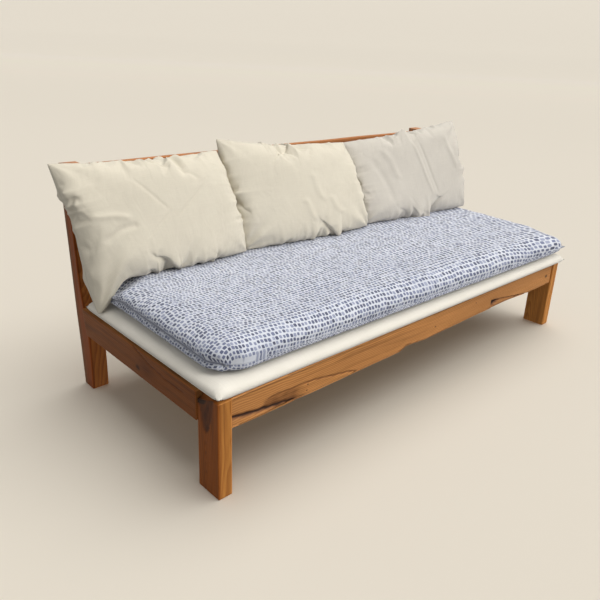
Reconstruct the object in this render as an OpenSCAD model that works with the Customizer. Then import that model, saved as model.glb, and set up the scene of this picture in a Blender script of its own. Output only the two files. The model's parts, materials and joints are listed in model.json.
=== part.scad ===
// Daybed: a rustic hardwood frame with a raked open back, a thin base mattress,
// a printed quilted topper and three loose back cushions.
// The origin is the centre of the footprint on the floor.
// +X is the right-hand end seen from the front, -Y is the front and +Z is up.

/* [Overall] */
// Length over the outer faces of the legs
bed_length = 1900; // [1700:10:2100]
// Depth from the front legs to the top of the rear posts
bed_depth = 885; // [860:5:960]
// Height of the tops of the rear posts
back_height = 803; // [760:1:860]
// Height of the upper edges of the seat rails
seat_height = 309; // [290:1:340]

/* [Front legs] */
// Width of a front leg along the bed
leg_w = 46.5; // [44:0.5:60]
// Depth of a front leg, front to back
leg_d = 97; // [85:1:110]

/* [Rear posts] */
// Width of a rear post along the bed
post_w = 60; // [50:1:70]
// Depth of a rear post at the floor
post_foot_d = 62; // [58:1:75]
// Depth of a rear post just above the seat
post_waist_d = 51; // [48:1:60]
// Depth of a rear post at its top
post_top_d = 47; // [44:1:56]
// Backward lean of the rear posts' rear edges, in degrees
rake = 4; // [3:0.5:5]
// Height at which a rear post's front edge starts to sweep back
sweep_low_z = 205; // [195:1:215]
// Height at which the sweep ends
sweep_high_z = 373; // [365:1:385]

/* [Rails] */
// Height of the seat rails
rail_h = 94; // [80:1:100]
// Thickness of the seat rails
rail_t = 30; // [28:1:34]
// How far the front rail's face is set back from the front legs' faces
front_setback = 5; // [3:1:8]
// How far the side rails' faces stand out from the legs' outer faces
side_proud = 5; // [2:1:6]
// Thickness of a rail's tenon
tenon_t = 14; // [12:1:16]
// Length of a rail's tenon
tenon_l = 28; // [20:1:30]

/* [Back boards] */
// Height of a back board
back_board_h = 84; // [70:1:90]
// Thickness of a back board
back_board_t = 24; // [20:1:26]
// Drop from the post tops to the top board's upper edge
back_board_drop = 10; // [6:1:14]
// Spacing from one board's upper edge to the next
back_board_pitch = 168; // [160:1:172]

/* [Slats] */
// Width of a slat
slat_w = 70; // [60:1:80]
// Thickness of a slat
slat_t = 18; // [16:1:20]
// Gap between the end slats and the rear posts
slat_margin = 16; // [12:1:30]
// Height of the cleats that carry the slats
cleat_h = 30; // [26:1:34]
// Thickness of the cleats
cleat_t = 25; // [22:1:28]

/* [Soft goods] */
// Thickness of the base mattress
mattress_t = 42; // [36:1:48]
// Depth of the base mattress, front to back
mattress_d = 762; // [740:1:764]
// Thickness of the topper
topper_t = 94; // [80:1:104]
// Depth of the topper, front to back
topper_d = 690; // [660:1:700]
// Length of the topper
topper_l = 1856; // [1820:1:1870]
// Length over the three back cushions
cushions_l = 2000; // [1940:10:2020]
// Where the left and the middle cushion meet along the bed
left_join_x = -380; // [-420:5:-320]
// Where the middle and the right cushion meet along the bed
right_join_x = 270; // [230:5:330]
// Height of a back cushion along its own plane
cushion_h = 415; // [400:5:430]
// Thickness of a back cushion at its middle
cushion_t = 150; // [130:2:156]
// Backward lean of the left and middle cushions, in degrees
cushion_lean = 25; // [22:1:26]
// From the front legs' faces back to the left and middle cushions' lower edges
cushion_foot_d = 616; // [600:1:620]
// Backward lean of the right cushion, in degrees
right_lean = 22; // [20:1:24]
// From the front legs' faces back to the right cushion's lower edge
right_foot_d = 596; // [580:1:600]
// How far the right cushion is turned towards the middle of the bed, in degrees
right_turn = 5; // [0:1:6]

/* [Hidden] */

wood = [0.72, 0.43, 0.20];
pale_wood = [0.78, 0.56, 0.34];
steel = [0.70, 0.68, 0.62];
linen = [0.86, 0.83, 0.76];
wadding = [0.93, 0.92, 0.89];
print_blue = [0.55, 0.62, 0.76];

fine = 48; // facets asked of round timber and screws
soft_fn = 32; // facets asked of the soft outlines
eps = 0.5; // overlap between two shapes of one solid

half_l = bed_length / 2;
front_y = -bed_depth / 2;
back_y = bed_depth / 2;
rail_z = seat_height - rail_h;
rail_mid_z = seat_height - rail_h / 2;
arris = 2; // small chamfer along the timber's edges
leg_inner_x = half_l - leg_w;
post_inner_x = half_l - post_w;

// joinery
glue_gap = 0.2; // clearance round a tenon
tenon_h = rail_h - 30;
back_board_count = 3;
back_tenon_t = 12;
back_tenon_l = 26;
back_tenon_h = back_board_h - 24;
peg_r = 4;
peg_gap = 0.05; // clearance round a peg
screw_gap = 0.1; // clearance round a screw

// seat rails: the faces that the other parts are set from
front_rail_y = front_y + front_setback;
rear_rail_y = post_rear(rail_z) - rail_t - 10;
side_rail_x = half_l + side_proud;
side_tenon_x = half_l - 16; // middle of a side rail's tenon

// slats
slat_count = 14;
slat_z = seat_height - slat_t;
cleat_z = slat_z - cleat_h;
slat_front_y = front_rail_y + rail_t + 1;
slat_rear_y = rear_rail_y - 1;
slat_end_x = post_inner_x - slat_margin - slat_w / 2;
slat_pitch = 2 * slat_end_x / (slat_count - 1);
slat_screw_inset = 14; // from a slat's end to its screw
screw_r = 2.2;
screw_head_r = 4.4;
screw_head_h = 2.6;
slat_screw_l = 38;
cleat_screw_l = 46;
cleat_screw_count = 8;
cleat_screw_span = 1600;

// soft goods
cover_t = 2; // wall of a fabric cover
fill_gap = 0.4; // between a cover and what fills it
rest_gap = 0.3; // between loose parts that rest on each other
mattress_z = seat_height + rest_gap;
topper_z = mattress_z + mattress_t + rest_gap;
topper_y = front_y + 32;
cushion_z = topper_z + topper_t + rest_gap;
cushion_gap = 10; // between two cushions
cushion_seam_t = 40; // thickness near a cushion's edges

function post_rear(z) = back_y - (back_height - z) * tan(rake);
function blend(z, z0, z1, a, b) = a + (b - a) * (z - z0) / (z1 - z0);
post_foot_y = post_rear(0) - post_foot_d;
post_waist_y = post_rear(sweep_high_z) - post_waist_d;
post_top_y = back_y - post_top_d;
function post_front(z) =
    z <= sweep_low_z ? post_foot_y
    : z <= sweep_high_z ? blend(z, sweep_low_z, sweep_high_z, post_foot_y, post_waist_y)
    : blend(z, sweep_high_z, back_height, post_waist_y, post_top_y);
back_slope = atan((post_top_y - post_waist_y) / (back_height - sweep_high_z));
function board_z(i) = back_height - back_board_drop - back_board_h - i * back_board_pitch;
function slat_x(i) = -slat_end_x + i * slat_pitch;
function cleat_screw_x(i) = -cleat_screw_span / 2 + i * cleat_screw_span / (cleat_screw_count - 1);

// ---------- shared shapes ----------

// a w by h rectangle from the origin with its corners cut by c
module chamfered(w, h, c) {
    polygon([[c, 0], [w - c, 0], [w, c], [w, h - c], [w - c, h], [c, h], [0, h - c], [0, c]]);
}

// a bar of length l, centred on X, with its section in Y and Z from the origin
module bar_x(l, w, h, c = arris) {
    translate([-l / 2, 0, 0])
        rotate([90, 0, 90])
            linear_extrude(l)
                chamfered(w, h, c);
}

// a profile drawn in Y and Z and extruded along X from x0 by w
module side_profile(x0, w) {
    translate([x0, 0, 0])
        rotate([90, 0, 90])
            linear_extrude(w)
                children();
}

// a box centred in X on x, from y0 and z0
module block(x, y0, z0, size) {
    translate([x - size[0] / 2, y0, z0])
        cube(size);
}

// repeat a shape at the left and mirrored at the right
module both_ends() {
    children();
    mirror([1, 0, 0])
        children();
}

// a wood screw pointing along -Z with the top of its head at the origin
module screw(l, grow = 0) {
    rotate_extrude($fn = fine)
        polygon([
            [0, 0], [screw_head_r + grow, 0],
            [screw_r + grow, -screw_head_h - grow],
            [screw_r + grow, -l + 5 - grow],
            [0, -l - grow]
        ]);
}

module rounded_plate(w, h, r) {
    for (x = [-1, 1], y = [-1, 1])
        translate([x * (w / 2 - r), y * (h / 2 - r)])
            circle(r, $fn = soft_fn);
}

// a crowned cushion standing in X and Z: thin towards its edges, thick at its middle
module crowned(w, h, t, inset = 0) {
    rotate([90, 0, 0])
        hull() {
            linear_extrude(cushion_seam_t - 2 * inset, center = true)
                rounded_plate(w - 2 * inset, h - 2 * inset, 34);
            linear_extrude(t * 0.8 - 2 * inset, center = true)
                rounded_plate(w * 0.78 - 2 * inset, h * 0.72 - 2 * inset, 60);
            linear_extrude(t - 2 * inset, center = true)
                rounded_plate(w * 0.5 - 2 * inset, h * 0.36 - 2 * inset, 60);
        }
}

// a flat pad lying in X and Y with sloped, rounded borders; the origin is its lower centre
module pad(l, d, t, edge, inset = 0) {
    translate([0, 0, inset])
        hull() {
            linear_extrude(t - 2 * inset)
                rounded_plate(l - 2 * edge - 2 * inset, d - 2 * edge - 2 * inset, 30);
            translate([0, 0, t * 0.3])
                linear_extrude(t * 0.4 - 2 * inset)
                    rounded_plate(l - 2 * inset, d - 2 * inset, 30);
        }
}

// ---------- frame ----------

module front_rail_tenon(grow = 0) {
    block(leg_inner_x + tenon_l / 2, front_rail_y + (rail_t - tenon_t) / 2 - grow,
        rail_mid_z - tenon_h / 2 - grow,
        [tenon_l + 2 * grow + 2 * eps, tenon_t + 2 * grow, tenon_h + 2 * grow]);
}

module rear_rail_tenon(grow = 0) {
    block(post_inner_x + tenon_l / 2, rear_rail_y + (rail_t - tenon_t) / 2 - grow,
        rail_mid_z - tenon_h / 2 - grow,
        [tenon_l + 2 * grow + 2 * eps, tenon_t + 2 * grow, tenon_h + 2 * grow]);
}

// the tenons of a right-hand side rail, at its front and its rear end
module side_front_tenon(grow = 0) {
    block(side_tenon_x, front_y + leg_d - tenon_l - grow, rail_mid_z - tenon_h / 2 - grow,
        [tenon_t + 2 * grow, tenon_l + grow + eps, tenon_h + 2 * grow]);
}

module side_rear_tenon(grow = 0) {
    block(side_tenon_x, post_foot_y - eps, rail_mid_z - tenon_h / 2 - grow,
        [tenon_t + 2 * grow, post_front(seat_height) - post_foot_y + tenon_l + grow,
        tenon_h + 2 * grow]);
}

// places a shape in a back board's own leaning plane
module on_back(i) {
    translate([0, post_front(board_z(i)), board_z(i)])
        rotate([-back_slope, 0, 0])
            children();
}

module back_board_tenon(i, grow = 0) {
    on_back(i)
        block(post_inner_x + back_tenon_l / 2, (back_board_t - back_tenon_t) / 2 + 1 - grow,
            (back_board_h - back_tenon_h) / 2 - grow,
            [back_tenon_l + 2 * grow + 2 * eps, back_tenon_t + 2 * grow,
            back_tenon_h + 2 * grow]);
}

// pegs that lock the front rail's tenons, driven from behind the front legs' inner faces
module front_peg(grow = 0) {
    translate([leg_inner_x + tenon_l * 0.55, front_rail_y + 1, rail_mid_z])
        rotate([-90, 0, 0])
            cylinder(h = leg_d - front_setback - 1 + grow * 10, r = peg_r + grow, $fn = fine);
}

// pegs that lock the rear rail's tenons, driven from the back of the rear posts
module rear_peg(grow = 0) {
    translate([post_inner_x + tenon_l * 0.55, rear_rail_y + 2, rail_mid_z])
        rotate([-90, 0, 0])
            cylinder(h = post_rear(rail_mid_z) - rear_rail_y - 4 + grow * 200,
                r = peg_r + grow, $fn = fine);
}

// pegs that lock the back boards' tenons, driven from the back of the rear posts
module back_peg(i, grow = 0) {
    on_back(i)
        translate([post_inner_x + back_tenon_l * 0.55, 3, back_board_h / 2])
            rotate([-90, 0, 0])
                cylinder(h = post_top_d - 7 + grow * 200, r = peg_r + grow, $fn = fine);
}

module front_right_leg_shape() {
    difference() {
        translate([leg_inner_x, front_y, 0])
            linear_extrude(seat_height)
                chamfered(leg_w, leg_d, arris);
        front_rail_tenon(glue_gap);
        side_front_tenon(glue_gap);
        front_peg(peg_gap);
    }
}

module front_left_leg() {
    color(wood)
        mirror([1, 0, 0])
            front_right_leg_shape();
}

module front_right_leg() {
    color(wood)
        front_right_leg_shape();
}

module rear_right_post_shape() {
    difference() {
        side_profile(post_inner_x, post_w)
            polygon([
                [post_foot_y, 0],
                [post_rear(0), 0],
                [post_rear(back_height), back_height],
                [post_top_y, back_height],
                [post_waist_y, sweep_high_z],
                [post_foot_y, sweep_low_z]
            ]);
        rear_rail_tenon(glue_gap);
        side_rear_tenon(glue_gap);
        rear_peg(peg_gap);
        for (i = [0 : back_board_count - 1]) {
            back_board_tenon(i, glue_gap);
            back_peg(i, peg_gap);
        }
    }
}

module rear_left_post() {
    color(wood)
        mirror([1, 0, 0])
            rear_right_post_shape();
}

module rear_right_post() {
    color(wood)
        rear_right_post_shape();
}

module cleat_screw_at(i, rear = false, grow = 0) {
    y = rear ? slat_rear_y + 1 - cleat_t : slat_front_y - 1 + cleat_t;
    translate([cleat_screw_x(i), y, cleat_z + cleat_h / 2])
        rotate([rear ? 90 : -90, 0, 0])
            screw(cleat_screw_l, grow);
}

module front_rail() {
    color(wood)
        difference() {
            union() {
                translate([0, front_rail_y, rail_z])
                    bar_x(2 * leg_inner_x, rail_t, rail_h);
                both_ends()
                    front_rail_tenon();
            }
            both_ends()
                front_peg(peg_gap);
            for (i = [0 : cleat_screw_count - 1])
                cleat_screw_at(i, false, screw_gap);
        }
}

module rear_rail() {
    color(wood)
        difference() {
            union() {
                translate([0, rear_rail_y, rail_z])
                    bar_x(2 * post_inner_x, rail_t, rail_h);
                both_ends()
                    rear_rail_tenon();
            }
            both_ends()
                rear_peg(peg_gap);
            for (i = [0 : cleat_screw_count - 1])
                cleat_screw_at(i, true, screw_gap);
        }
}

// its rear end is cut to the slope of the post that it meets
module right_side_rail_shape() {
    side_profile(side_rail_x - rail_t, rail_t)
        polygon([
            [front_y + leg_d, rail_z],
            [post_front(rail_z), rail_z],
            [post_front(seat_height), seat_height],
            [front_y + leg_d, seat_height]
        ]);
    side_front_tenon();
    side_rear_tenon();
}

module left_side_rail() {
    color(wood)
        mirror([1, 0, 0])
            right_side_rail_shape();
}

module right_side_rail() {
    color(wood)
        right_side_rail_shape();
}

module back_board(i) {
    color(wood)
        difference() {
            union() {
                on_back(i)
                    translate([0, 1, 0])
                        bar_x(2 * post_inner_x, back_board_t, back_board_h);
                both_ends()
                    back_board_tenon(i);
            }
            both_ends()
                back_peg(i, peg_gap);
        }
}

// ---------- slatted base ----------

module slat_screws_at(i, grow = 0) {
    for (y = [slat_front_y + slat_screw_inset, slat_rear_y - slat_screw_inset])
        translate([slat_x(i), y, seat_height - 1])
            screw(slat_screw_l, grow);
}

module slat(i) {
    color(pale_wood)
        difference() {
            translate([slat_x(i) - slat_w / 2, slat_front_y, slat_z])
                rotate([90, 0, 90])
                    linear_extrude(slat_w)
                        chamfered(slat_rear_y - slat_front_y, slat_t, 1.5);
            slat_screws_at(i, screw_gap);
            for (y = [slat_front_y + slat_screw_inset, slat_rear_y - slat_screw_inset])
                translate([slat_x(i), y, seat_height - 1])
                    cylinder(h = 2, r = screw_head_r + screw_gap, $fn = fine);
        }
}

module cleat(l, y, rear) {
    color(pale_wood)
        difference() {
            translate([0, y, cleat_z])
                bar_x(l, cleat_t, cleat_h);
            for (i = [0 : slat_count - 1])
                slat_screws_at(i, screw_gap);
            for (i = [0 : cleat_screw_count - 1])
                cleat_screw_at(i, rear, screw_gap);
        }
}

module front_cleat() {
    cleat(2 * leg_inner_x - 6, slat_front_y - 1, false);
}

module rear_cleat() {
    cleat(2 * post_inner_x - 6, slat_rear_y + 1 - cleat_t, true);
}

// ---------- fasteners ----------

module front_tenon_pegs() {
    color(pale_wood)
        both_ends()
            front_peg();
}

module rear_tenon_pegs() {
    color(pale_wood)
        both_ends()
            rear_peg();
}

module back_tenon_pegs() {
    color(pale_wood)
        both_ends()
            for (i = [0 : back_board_count - 1])
                back_peg(i);
}

module cleat_screws() {
    color(steel)
        for (i = [0 : cleat_screw_count - 1]) {
            cleat_screw_at(i, false);
            cleat_screw_at(i, true);
        }
}

module slat_screws() {
    color(steel)
        for (i = [0 : slat_count - 1])
            slat_screws_at(i);
}

// ---------- soft goods ----------

module mattress_shape(inset = 0) {
    translate([0, front_y + mattress_d / 2, mattress_z])
        pad(bed_length, mattress_d, mattress_t, 8, inset);
}

module mattress_cover() {
    color(linen)
        difference() {
            mattress_shape();
            mattress_shape(cover_t);
        }
}

module mattress_filling() {
    color(wadding)
        mattress_shape(cover_t + fill_gap);
}

module topper_shape(inset = 0) {
    translate([16, topper_y + topper_d / 2, topper_z])
        pad(topper_l, topper_d, topper_t, 26, inset);
}

module topper_cover() {
    color(print_blue)
        difference() {
            topper_shape();
            topper_shape(cover_t);
        }
}

module topper_filling() {
    color(wadding)
        topper_shape(cover_t + fill_gap);
}

// a back cushion that stands on the topper between two places along the bed
module cushion_shape(x0, x1, foot_d, lean, turn, inset) {
    rear_drop = cushion_seam_t / 2 * sin(lean); // its lower rear edge is its lowest
    translate([(x0 + x1) / 2, front_y + foot_d, cushion_z + rear_drop])
        rotate([-lean, 0, -turn])
            translate([0, 0, cushion_h / 2])
                crowned(x1 - x0, cushion_h, cushion_t, inset);
}

module left_cushion(inset = 0) {
    cushion_shape(-cushions_l / 2, left_join_x - cushion_gap / 2,
        cushion_foot_d, cushion_lean, 0, inset);
}

module middle_cushion(inset = 0) {
    cushion_shape(left_join_x + cushion_gap / 2, right_join_x - cushion_gap / 2,
        cushion_foot_d, cushion_lean, 0, inset);
}

module right_cushion(inset = 0) {
    cushion_shape(right_join_x + cushion_gap / 2, cushions_l / 2,
        right_foot_d, right_lean, right_turn, inset);
}

module left_cushion_cover() {
    color(linen)
        difference() {
            left_cushion();
            left_cushion(cover_t);
        }
}

module left_cushion_pad() {
    color(wadding)
        left_cushion(cover_t + fill_gap);
}

module middle_cushion_cover() {
    color(linen)
        difference() {
            middle_cushion();
            middle_cushion(cover_t);
        }
}

module middle_cushion_pad() {
    color(wadding)
        middle_cushion(cover_t + fill_gap);
}

module right_cushion_cover() {
    color(linen)
        difference() {
            right_cushion();
            right_cushion(cover_t);
        }
}

module right_cushion_pad() {
    color(wadding)
        right_cushion(cover_t + fill_gap);
}

// ---------- one line per node ----------

front_left_leg();
front_right_leg();
rear_left_post();
rear_right_post();
front_rail();
rear_rail();
left_side_rail();
right_side_rail();
for (i = [0 : back_board_count - 1]) back_board(i);
front_cleat();
rear_cleat();
for (i = [0 : slat_count - 1]) slat(i);
front_tenon_pegs();
rear_tenon_pegs();
back_tenon_pegs();
cleat_screws();
slat_screws();
mattress_cover();
mattress_filling();
topper_cover();
topper_filling();
left_cushion_cover();
left_cushion_pad();
middle_cushion_cover();
middle_cushion_pad();
right_cushion_cover();
right_cushion_pad();
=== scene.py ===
"""The daybed's looks: camera, light, detailed timber, simulated soft goods and their materials.

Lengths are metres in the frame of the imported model: +X to the right-hand end, -Y to the front, +Z up.
"""

import json
import math

import bmesh
import bpy
import numpy as np
from mathutils import Matrix, Vector, noise

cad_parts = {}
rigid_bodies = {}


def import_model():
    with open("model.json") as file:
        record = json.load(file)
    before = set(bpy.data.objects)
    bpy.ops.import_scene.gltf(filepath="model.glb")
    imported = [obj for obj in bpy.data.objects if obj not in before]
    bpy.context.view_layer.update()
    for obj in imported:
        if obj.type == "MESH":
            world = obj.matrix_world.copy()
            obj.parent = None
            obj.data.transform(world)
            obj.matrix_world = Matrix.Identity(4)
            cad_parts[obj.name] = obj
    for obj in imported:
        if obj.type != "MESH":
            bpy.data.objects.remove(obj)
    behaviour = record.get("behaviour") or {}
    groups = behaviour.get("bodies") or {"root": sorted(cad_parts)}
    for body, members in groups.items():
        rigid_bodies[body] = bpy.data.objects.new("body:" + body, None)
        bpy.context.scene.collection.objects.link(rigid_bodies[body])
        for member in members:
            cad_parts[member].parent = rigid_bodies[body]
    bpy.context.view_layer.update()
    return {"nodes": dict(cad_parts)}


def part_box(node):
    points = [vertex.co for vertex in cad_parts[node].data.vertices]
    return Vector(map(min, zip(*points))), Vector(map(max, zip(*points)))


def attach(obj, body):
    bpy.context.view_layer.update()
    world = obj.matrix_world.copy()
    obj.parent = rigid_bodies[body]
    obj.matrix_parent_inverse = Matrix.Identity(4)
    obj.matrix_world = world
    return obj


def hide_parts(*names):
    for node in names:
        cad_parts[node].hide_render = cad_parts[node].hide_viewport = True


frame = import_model()

AXES = {"X": 0, "Y": 1, "Z": 2}


# ---------- small helpers ----------

def node_box(name):
    """Lowest corner, highest corner and centre of a CAD node."""
    low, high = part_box(name)
    return low, high, (low + high) / 2


def smooth(t):
    """0 to 1 with level ends, for a number or an array."""
    t = np.clip(t, 0.0, 1.0)
    return t * t * (3 - 2 * t)


def wobble(x, y=0.0, z=0.0):
    """Smooth seeded noise from about -1 to 1."""
    return noise.noise(Vector((x, y, z)))


def add_mesh(name, verts, faces):
    mesh = bpy.data.meshes.new(name)
    mesh.from_pydata([tuple(v) for v in verts], [], [tuple(f) for f in faces])
    mesh.update()
    mesh.polygons.foreach_set("use_smooth", [True] * len(mesh.polygons))
    obj = bpy.data.objects.new(name, mesh)
    bpy.context.scene.collection.objects.link(obj)
    return obj


def add_values(obj, name, values):
    """A number for each vertex, which a material reads by name."""
    attribute = obj.data.attributes.new(name, "FLOAT", "POINT")
    attribute.data.foreach_set("value", np.asarray(values, np.float32))


def add_vectors(obj, name, vectors):
    attribute = obj.data.attributes.new(name, "FLOAT_VECTOR", "POINT")
    attribute.data.foreach_set("vector", np.asarray(vectors, np.float32).ravel())


def write_vectors(obj, name, vectors):
    obj.data.attributes[name].data.foreach_set("vector", np.asarray(vectors, np.float32).ravel())


def face_outwards(obj):
    """Turns the front of every face to the outside of a closed mesh."""
    form = bmesh.new()
    form.from_mesh(obj.data)
    bmesh.ops.recalc_face_normals(form, faces=form.faces)
    form.to_mesh(obj.data)
    form.free()


def stand_in(piece, body, slot, *nodes):
    """The piece moves with the body and shows in place of the nodes; the slot is not used."""
    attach(piece, body)
    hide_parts(*nodes)


# ---------- materials ----------

KNOT_BROWN = (0.035, 0.014, 0.007)
NAIL_HOLE = (0.02, 0.012, 0.008)
BARK_BROWN = (0.13, 0.034, 0.008)
BARK_DARK = (0.035, 0.010, 0.004)
# near black for the deepest bark and for painted shadow
BARK_AND_SHADOW_BLACK = (0.014, 0.006, 0.004)
GREY_BROWN = (0.26, 0.19, 0.135)
# painted shade: multiplies the outer left faces darker and redder
PAINTED_SHADE_TINT = (0.46, 0.31, 0.165)
LINEN_THREAD = 0.0012
PRINT_THREAD = 0.0008
INKS = [(0.0, (0.035, 0.042, 0.085)), (0.35, (0.085, 0.10, 0.18)),
        (0.65, (0.15, 0.175, 0.28)), (1.0, (0.31, 0.34, 0.45))]
FADED_INK = (0.34, 0.38, 0.54)
GROUND_DULL = (0.545, 0.575, 0.645)
GROUND_CLEAR = (0.635, 0.66, 0.72)
# painted shade in the seams' creases, navy on the printed cotton
SEAM_SHADE_NAVY = (0.04, 0.05, 0.11)


class Shader:
    """A node material built with short calls. A value is a number, a tuple or a socket."""

    def __init__(self, name, roughness, sheen=0.0):
        self.material = bpy.data.materials.new(name)
        self.material.use_nodes = True
        self.tree = self.material.node_tree
        self.surface = self.tree.nodes["Principled BSDF"]
        self.surface.inputs["Roughness"].default_value = roughness
        self.surface.inputs["Sheen Weight"].default_value = sheen
        self.surface.inputs["Sheen Roughness"].default_value = 0.5
        self.place = self.node("ShaderNodeTexCoord").outputs["Object"]

    def node(self, kind, **settings):
        node = self.tree.nodes.new(kind)
        for key, value in settings.items():
            setattr(node, key, value)
        return node

    def put(self, socket, value):
        if isinstance(value, bpy.types.NodeSocket):
            self.tree.links.new(value, socket)
        elif isinstance(value, tuple) and len(socket.default_value) == 4 and len(value) == 3:
            socket.default_value = (*value, 1.0)
        else:
            socket.default_value = value

    def math(self, operation, a, b=0.0, c=0.0):
        node = self.node("ShaderNodeMath", operation=operation)
        for socket, value in zip(node.inputs, (a, b, c)):
            self.put(socket, value)
        return node.outputs[0]

    def plus(self, a, b):
        return self.math("ADD", a, b)

    def minus(self, a, b):
        return self.math("SUBTRACT", a, b)

    def times(self, a, b):
        return self.math("MULTIPLY", a, b)

    def scale_add(self, a, factor, extra):
        return self.math("MULTIPLY_ADD", a, factor, extra)

    def vector(self, operation, a, b=(0.0, 0.0, 0.0)):
        node = self.node("ShaderNodeVectorMath", operation=operation)
        self.put(node.inputs[0], a)
        self.put(node.inputs[1], b)
        return node.outputs["Value" if operation in ("LENGTH", "DISTANCE") else "Vector"]

    def split(self, vector):
        node = self.node("ShaderNodeSeparateXYZ")
        self.put(node.inputs[0], vector)
        return node.outputs[0], node.outputs[1], node.outputs[2]

    def join(self, x, y, z=0.0):
        node = self.node("ShaderNodeCombineXYZ")
        for socket, value in zip(node.inputs, (x, y, z)):
            self.put(socket, value)
        return node.outputs[0]

    def noise(self, vector, scale=1.0, detail=3.0, rough=0.5, distortion=0.0):
        node = self.node("ShaderNodeTexNoise")
        self.put(node.inputs["Vector"], vector)
        node.inputs["Scale"].default_value = scale
        node.inputs["Detail"].default_value = detail
        node.inputs["Roughness"].default_value = rough
        node.inputs["Distortion"].default_value = distortion
        return node.outputs["Fac"]

    def random(self, vector):
        node = self.node("ShaderNodeTexWhiteNoise", noise_dimensions="3D")
        self.put(node.inputs["Vector"], vector)
        return node.outputs["Value"]

    def attribute(self, name, output="Fac"):
        return self.node("ShaderNodeAttribute", attribute_name=name).outputs[output]

    def span(self, value, low, high, to_low=0.0, to_high=1.0):
        """Maps low..high onto to_low..to_high and clamps it there."""
        node = self.node("ShaderNodeMapRange", clamp=True)
        for key, number in zip(("From Min", "From Max", "To Min", "To Max"),
                               (low, high, to_low, to_high)):
            node.inputs[key].default_value = number
        self.put(node.inputs["Value"], value)
        return node.outputs["Result"]

    def ramp(self, value, stops):
        node = self.node("ShaderNodeValToRGB")
        ramp = node.color_ramp
        while len(ramp.elements) < len(stops):
            ramp.elements.new(0.5)
        for element, (at, colour) in zip(ramp.elements, stops):
            element.position = at
            element.color = (*colour, 1.0)
        self.put(node.inputs["Fac"], value)
        return node.outputs["Color"]

    def mix(self, share, a, b, blend="MIX"):
        node = self.node("ShaderNodeMix", data_type="RGBA", blend_type=blend)
        self.put(node.inputs["Factor"], share)
        self.put(node.inputs[6], a)
        self.put(node.inputs[7], b)
        return node.outputs[2]

    def bump(self, height, distance, strength=1.0, normal=None):
        node = self.node("ShaderNodeBump")
        node.inputs["Distance"].default_value = distance
        node.inputs["Strength"].default_value = strength
        self.put(node.inputs["Height"], height)
        if normal is not None:
            self.put(node.inputs["Normal"], normal)
        return node.outputs["Normal"]

    def finish(self, colour, normal=None, roughness=None):
        self.put(self.surface.inputs["Base Color"], colour)
        if normal is not None:
            self.put(self.surface.inputs["Normal"], normal)
        if roughness is not None:
            self.put(self.surface.inputs["Roughness"], roughness)
        return self.material


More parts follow.
